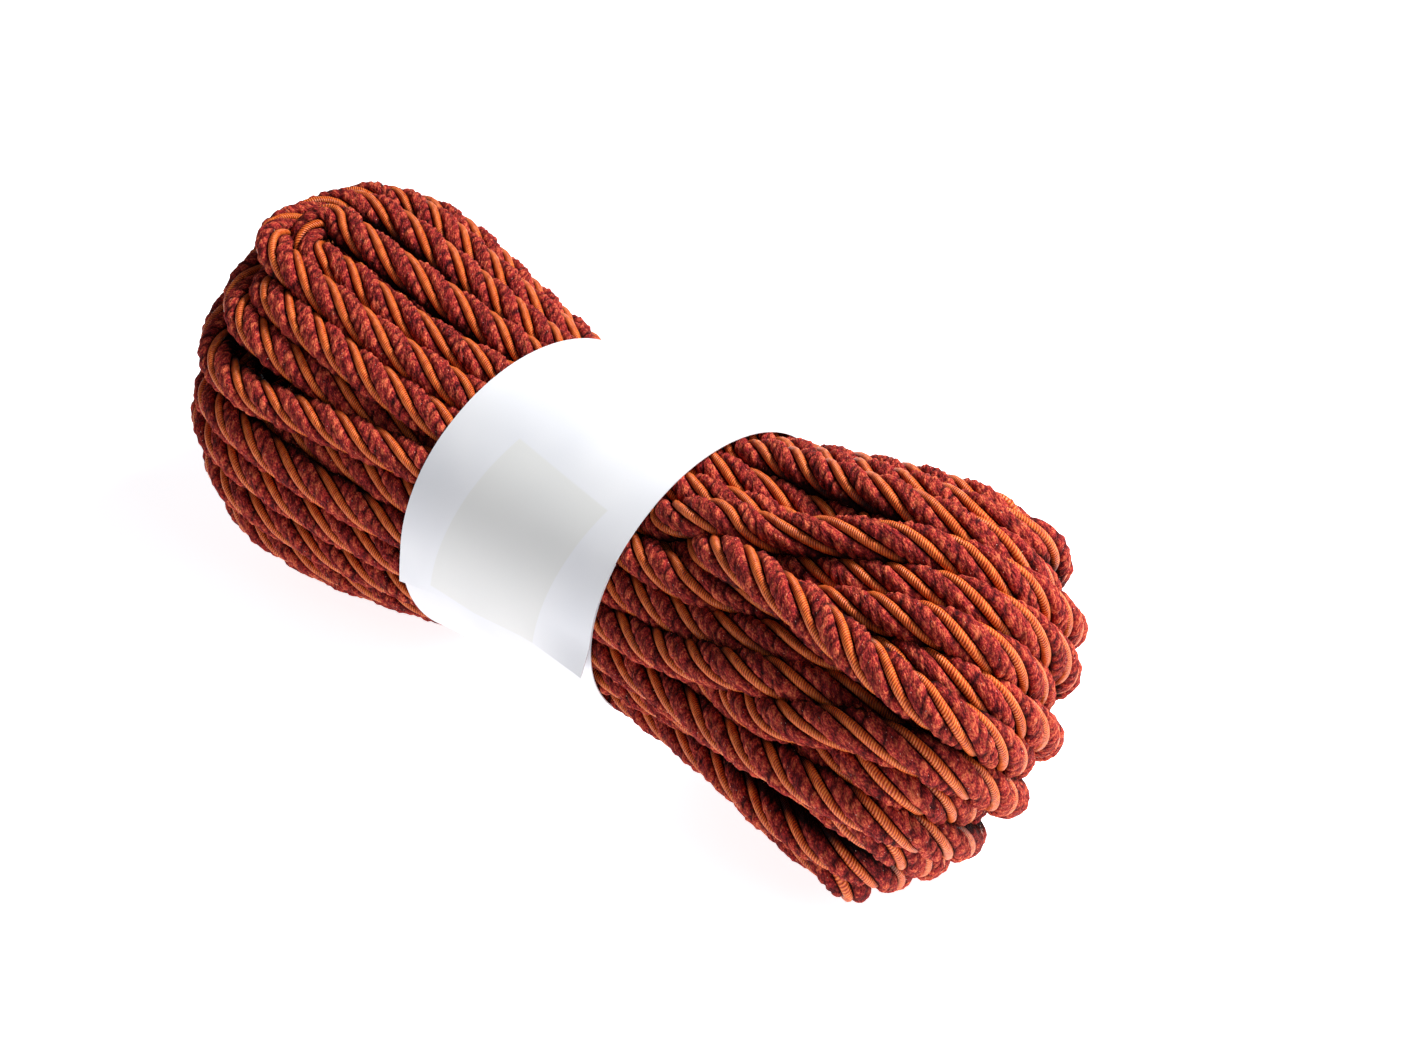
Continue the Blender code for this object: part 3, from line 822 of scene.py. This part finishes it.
    def half_turns(self, loops: list) -> list:
        """Cut the loops at the middle of the band into half turns, one round each end.

        Args:
            loops: closed lines of points.

        Returns:
            Open lines of points, each with a point of overlap at its ends.
        """
        pieces = []
        for loop in loops:
            crossing = np.nonzero(np.sign(loop[:, 0]) != np.sign(np.roll(loop[:, 0], -1)))[0]
            for start, stop in zip(crossing, np.roll(crossing, -1)):
                span = (stop - start) % len(loop) or len(loop)
                pieces.append(loop[(start + np.arange(span + 2)) % len(loop)])
        return pieces

    def exposed(self, line: np.ndarray, everything: np.ndarray) -> np.ndarray:
        """Find how well each part of a half turn can be seen.

        Args:
            line: the half turn's points.
            everything: all points of the hank.

        Returns:
            For each point, 1 if it lies in the open, less on the underside, 0 in the band or
            under other turns.
        """
        seen = []
        for point in line:
            middle = np.array([point[0] * 0.8, 0.0, self.band.axis_height])
            outward = (point - middle) / np.linalg.norm(point - middle)
            offset = everything - point
            ahead = offset @ outward
            aside = np.linalg.norm(offset - ahead[:, None] * outward, axis=1)
            covered = (ahead > self.cord.thickness * 0.6) & (aside < self.cord.thickness * 0.5)
            in_band = abs(point[0]) < self.band.width / 2 - self.cord.thickness
            in_open = not in_band and covered.sum() < 2
            below = outward[2] < self.underside_facing
            seen.append(in_open * (self.underside_share if below else 1.0))
        return np.array(seen)


def smooth_line(points: np.ndarray, spacing: float) -> np.ndarray:
    """Resample a line with a Catmull-Rom curve through its points.

    Args:
        points: the line's points.
        spacing: distance between the new points.

    Returns:
        Evenly spaced points.
    """
    padded = np.concatenate([[2 * points[0] - points[1]], points, [2 * points[-1] - points[-2]]])
    t = np.linspace(0.0, 1.0, 13)[:-1, None]
    parts = []
    for a, b, c, d in zip(padded, padded[1:], padded[2:], padded[3:]):
        parts.append(0.5 * (2 * b + (c - a) * t + (2 * a - 5 * b + 4 * c - d) * t ** 2
                            + (3 * b - a - 3 * c + d) * t ** 3))
    fine = np.concatenate(parts + [points[-1:]])
    reach = np.concatenate([[0.0], np.cumsum(np.linalg.norm(np.diff(fine, axis=0), axis=1))])
    even = np.linspace(0.0, reach[-1], max(int(reach[-1] / spacing), 8))
    return np.stack([np.interp(even, reach, fine[:, k]) for k in range(3)], axis=1)


def carried_frames(line: np.ndarray) -> tuple:
    """Carry a pair of directions along a line without letting them spin.

    Args:
        line: evenly spaced points.

    Returns:
        Arrays of the two directions across the line, at each point.
    """
    tangent = np.gradient(line, axis=0)
    tangent /= np.linalg.norm(tangent, axis=1)[:, None]
    side = np.cross(tangent[0], [0.3, 0.5, 0.8])
    sides = []
    for direction in tangent:
        side = side - direction * (side @ direction)
        side = side / np.linalg.norm(side)
        sides.append(side)
    sides = np.array(sides)
    return sides, np.cross(tangent, sides)


class CordPieces:
    """Makes the meshes of the half turns, and dresses them."""

    def __init__(self, hank: Hank, ply: ChenillePly, gimp: WrappedGimp, seed: int = 7) -> None:
        """Keep the hank and make its finishes."""
        self.hank = hank
        self.cord = hank.cord
        self.materials = [ply.material(), gimp.material()]
        self.random = np.random.default_rng(seed)

    def ring_places(self, line: np.ndarray, exposed: np.ndarray) -> tuple:
        """Choose where the rings go along a half turn, close together where it shows.

        Args:
            line: the half turn's points.
            exposed: how well each of them shows.

        Returns:
            The rings' middles, their distances along the cord, and how far each one shows.
        """
        fine = smooth_line(line, 0.3 * MM)
        step = np.linalg.norm(np.diff(fine, axis=0), axis=1)
        reach = np.concatenate([[0.0], np.cumsum(step)])
        own = np.concatenate([[0.0], np.cumsum(np.linalg.norm(np.diff(line, axis=0), axis=1))])
        spread = np.maximum.reduce([exposed, np.roll(exposed, 1), np.roll(exposed, -1)])
        share = np.interp(reach / reach[-1], own / own[-1], spread)
        spacing = self.cord.hidden_spacing + (self.cord.ring_spacing - self.cord.hidden_spacing) * share
        rings = np.concatenate([[0.0], np.cumsum(step / spacing[:-1])])
        places = np.interp(np.linspace(0.0, rings[-1], int(rings[-1]) + 2), rings, reach)
        middles = np.stack([np.interp(places, reach, fine[:, k]) for k in range(3)], axis=1)
        return middles, places, np.interp(places, reach, share)

    def swept(self, name: str, line: np.ndarray, exposed: np.ndarray) -> bpy.types.Object:
        """Sweep the cord's outline along one half turn.

        Args:
            name: the piece's name.
            line: the half turn's points.
            exposed: how well each of them shows.

        Returns:
            The piece.
        """
        cord = self.cord
        angles, radii, on_ply, crest_and_painted_shade = cord.profile()
        points, along, shown = self.ring_places(line, exposed)
        sides, ups = carried_frames(points)
        phase = self.random.uniform(0, 2 * math.pi, 2)
        drift = cord.lay_drift * np.sin(2 * math.pi * along / cord.drift_length + phase[1])
        turn = angles[None, :] + phase[0] + (2 * math.pi / cord.lay) * along[:, None] + drift[:, None]
        knob = self.knobs(along, angles)
        knobbed = (on_ply & (crest_and_painted_shade > 0))[None, :]
        radius = radii[None, :] + np.where(knobbed, (knob - cord.knob_middle) * cord.knob_height, 0.0)
        # painted shade, kept in the crest attribute: darker in the valleys between knobs, at the gimps' sides
        # and in the grooves, where the cord faces into the hank and on covered turns
        lit = crest_and_painted_shade[None, :] * np.where(knobbed, cord.valley_light + (1 - cord.valley_light) * knob, 1.0)
        ring = sides[:, None, :] * np.cos(turn)[..., None] + ups[:, None, :] * np.sin(turn)[..., None]
        lit = lit * self.openness(points, ring)
        lit = lit * (cord.hidden_light + (1 - cord.hidden_light) * shown[:, None])
        places = self.hank.tucked(points[:, None, :] + ring * radius[..., None])
        places[..., 2] = np.maximum(places[..., 2], 0.0)
        piece = self.to_object(name, places, along, angles, on_ply)
        painted_shade_share = piece.data.attributes.new("crest_and_painted_shade", "FLOAT", "POINT")
        painted_shade_share.data.foreach_set("value", lit.astype(np.float32).ravel())
        return piece

    def openness(self, points: np.ndarray, ring: np.ndarray) -> np.ndarray:
        """Find how openly each point faces out of the hank.

        Args:
            points: the rings' middles.
            ring: direction of each point of the outline from its ring's middle.

        Returns:
            0 where the point faces its neighbours or the inside, 1 where it faces out.
        """
        middle = np.zeros_like(points)
        middle[:, 0] = np.clip(points[:, 0], -self.hank.straight_half, self.hank.straight_half)
        middle[:, 2] = self.hank.band.axis_height
        outward = points - middle
        outward /= np.linalg.norm(outward, axis=1)[:, None]
        facing = np.einsum("rpk,rk->rp", ring, outward)
        return np.clip((facing - self.hank.dark_facing) / self.hank.facing_span, 0.0, 1.0)

    def knobs(self, along: np.ndarray, angles: np.ndarray) -> np.ndarray:
        """Shape the two staggered rows of knobs on each ply.

        Args:
            along: distance of each ring along the cord.
            angles: angle of each point of the outline.

        Returns:
            How high the knob is at each ring and point, from 0 to about 1.
        """
        cord = self.cord
        third = 2 * math.pi / 3
        across = ((angles % third) - third / 2) / math.radians(cord.ply_half)
        row = np.where(across > 0, 0.5, 0.0)
        crest_and_painted_shade = np.clip(1.0 - (np.abs(np.abs(across) - cord.knob_row) / cord.knob_spread) ** 2, 0.0, 1.0)
        beat = along[:, None] / cord.knob_length + row[None, :]
        size = self.random.uniform(*cord.knob_sizes, (int(beat.max()) + 3, 8))
        slip = self.random.uniform(-cord.knob_slip, cord.knob_slip, size.shape)
        sector = ((angles // third) * 2 + (across > 0)).astype(int) % 8
        number = np.floor(beat + 0.5).astype(int)
        own = size[number, sector[None, :]]
        knob = np.cos(np.pi * np.clip(beat - number + slip[number, sector[None, :]], -0.5, 0.5)) ** 0.8
        return knob * crest_and_painted_shade[None, :] ** 0.7 * own

    def to_object(self, name: str, places: np.ndarray, along: np.ndarray,
                  angles: np.ndarray, on_ply: np.ndarray) -> bpy.types.Object:
        """Make a capped tube of rings, with a material for plies and one for gimps.

        Args:
            name: the piece's name.
            places: rings of points.
            along: distance of each ring along the cord.
            angles: angle of each point of the outline.
            on_ply: whether each point lies on a ply.

        Returns:
            The piece.
        """
        rings, around = places.shape[:2]
        low = np.arange(rings - 1)[:, None] * around + np.arange(around)[None, :]
        low_next = np.arange(rings - 1)[:, None] * around + (np.arange(around)[None, :] + 1) % around
        quads = np.stack([low, low_next, low_next + around, low + around], axis=-1).reshape(-1, 4)
        caps = [list(range(around))[::-1], list(range((rings - 1) * around, rings * around))]
        mesh = bpy.data.meshes.new(name)
        mesh.from_pydata(places.reshape(-1, 3).tolist(), [], quads.tolist() + caps)
        ply_face = on_ply | np.roll(on_ply, -1)
        index = np.tile(np.where(ply_face, 0, 1), rings - 1)
        mesh.polygons.foreach_set("material_index", np.concatenate([index, [0, 0]]).astype(np.int32))
        arc = angles * self.cord.thickness / 2
        seam = np.append(arc[1:], 2 * math.pi * self.cord.thickness / 2)
        u = np.stack([along[:-1, None] + 0 * arc, along[:-1, None] + 0 * arc,
                      along[1:, None] + 0 * arc, along[1:, None] + 0 * arc], axis=-1)
        v = np.broadcast_to(np.stack([arc, seam, seam, arc], axis=-1), u.shape)
        uv = np.stack([u, v], axis=-1).reshape(-1, 2) / MM
        uv = np.concatenate([uv, np.zeros((2 * around, 2))])
        mesh.uv_layers.new(name="cord").data.foreach_set("uv", uv.astype(np.float32).ravel())
        for material in self.materials:
            mesh.materials.append(material)
        mesh.shade_smooth()
        mesh.transform(Matrix.Translation(self.hank.waist))
        piece = bpy.data.objects.new(name, mesh)
        bpy.context.collection.objects.link(piece)
        return piece

    def build(self) -> list:
        """Make every half turn of the hank."""
        loops = self.hank.settle(self.hank.joined_loops())
        everything = np.concatenate(loops)
        pieces = []
        for number, line in enumerate(self.hank.half_turns(loops), start=1):
            exposed = self.hank.exposed(line, everything)
            pieces.append(self.swept(f"half_turn_{number:02d}", line, exposed))
        return pieces


@dataclass(frozen=True)
class TableTop:
    """A white light table: a matt sheet lit from below as well as from above."""

    colour: str = "#fbfbfd"
    glow_colour: str = "#fdfdff"
    glow: float = 0.88
    roughness: float = 0.9

    def material(self) -> bpy.types.Material:
        """The table's material."""
        # Lit white sheet: even, shadowless white that also lights the cord from below
        material, _, shader = new_material("white_table")
        shader.inputs["Base Color"].default_value = linear(self.colour)
        shader.inputs["Roughness"].default_value = self.roughness
        shader.inputs["Emission Color"].default_value = linear(self.glow_colour)
        shader.inputs["Emission Strength"].default_value = self.glow
        return material


@dataclass
class Studio:
    """Floor, light and camera."""

    target: Vector
    table: TableTop
    azimuth: float = 40.0
    elevation: float = 35.0
    distance: float = 0.540
    focal_px: float = 2310.0
    image_px: tuple = (1410, 1048)
    target_px: tuple = (618.0, 530.0)
    sensor_mm: float = 36.0
    floor_half: float = 6.0
    surround: float = 0.13
    surround_colour: str = "#f6f8ff"
    # place from the target, size and power of each soft light
    lamps: dict = field(default_factory=lambda: {
        "overhead": ((0.36, 0.30, 0.62), 0.24, 9.0),
        "front_fill": ((0.8, -0.1, 0.5), 0.4, 1.6)})

    def floor(self) -> None:
        """A plain white surface under the hank."""
        mesh = bpy.data.meshes.new("floor")
        form = bmesh.new()
        bmesh.ops.create_grid(form, x_segments=1, y_segments=1, size=self.floor_half)
        form.to_mesh(mesh)
        form.free()
        floor = bpy.data.objects.new("floor", mesh)
        bpy.context.collection.objects.link(floor)
        mesh.materials.append(self.table.material())

    def light(self) -> None:
        """A dim surround, a soft light overhead and a weaker one from the front."""
        world = bpy.data.worlds.new("surround")
        world.use_nodes = True
        world.node_tree.nodes["Background"].inputs["Color"].default_value = linear(self.surround_colour)
        world.node_tree.nodes["Background"].inputs["Strength"].default_value = self.surround
        bpy.context.scene.world = world
        for name, (place, size, power) in self.lamps.items():
            data = bpy.data.lights.new(name, "AREA")
            data.size = size
            data.energy = power
            lamp = bpy.data.objects.new(name, data)
            lamp.location = self.target + Vector(place)
            lamp.rotation_mode = "QUATERNION"
            lamp.rotation_quaternion = Vector(place).to_track_quat("Z", "Y")
            bpy.context.collection.objects.link(lamp)

    def camera(self) -> None:
        """The photograph's view, with the waist where the photograph has it."""
        turn, lift = math.radians(self.azimuth), math.radians(self.elevation)
        back = Vector((math.sin(turn) * math.cos(lift), -math.cos(turn) * math.cos(lift), math.sin(lift)))
        right = Vector((math.cos(turn), math.sin(turn), 0.0))
        up = back.cross(right)
        per_px = self.distance / self.focal_px
        aside = (self.target_px[0] - self.image_px[0] / 2) * per_px
        above = (self.image_px[1] / 2 - self.target_px[1]) * per_px
        data = bpy.data.cameras.new("camera")
        data.sensor_width = self.sensor_mm
        data.lens = self.focal_px * self.sensor_mm / self.image_px[0]
        data.clip_start = 0.01
        camera = bpy.data.objects.new("camera", data)
        camera.rotation_mode = "QUATERNION"
        camera.rotation_quaternion = back.to_track_quat("Z", "Y")
        camera.location = self.target + back * self.distance - right * aside - up * above
        bpy.context.collection.objects.link(camera)
        bpy.context.scene.camera = camera

    def build(self) -> None:
        """Set up the whole studio."""
        bpy.context.scene.view_settings.view_transform = "Standard"
        self.floor()
        self.light()
        self.camera()


def main() -> None:
    """Build the hank, its band and the studio, and report each piece."""
    logging.basicConfig(level=logging.INFO, format="%(name)s: %(message)s")
    sleeve = PaperBand()
    hank = Hank(Cord(), sleeve.waist(), sleeve)
    Studio(sleeve.waist() + Vector((0.0, 0.0, sleeve.axis_height)), TableTop()).build()
    pieces = CordPieces(hank, ChenillePly(), WrappedGimp()).build()
    for piece in pieces:
        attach(piece, "root")
        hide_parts("hank")
    triangles = sum(len(p.data.polygons) for p in pieces) * 2
    log.info("%d half turns, about %d triangles", len(pieces), triangles)
    band = sleeve.build(CoatedPaper())
    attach(band, "root")
    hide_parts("band")
    log.info("band of %d faces", len(band.data.polygons))


if __name__ == "__main__":
    main()
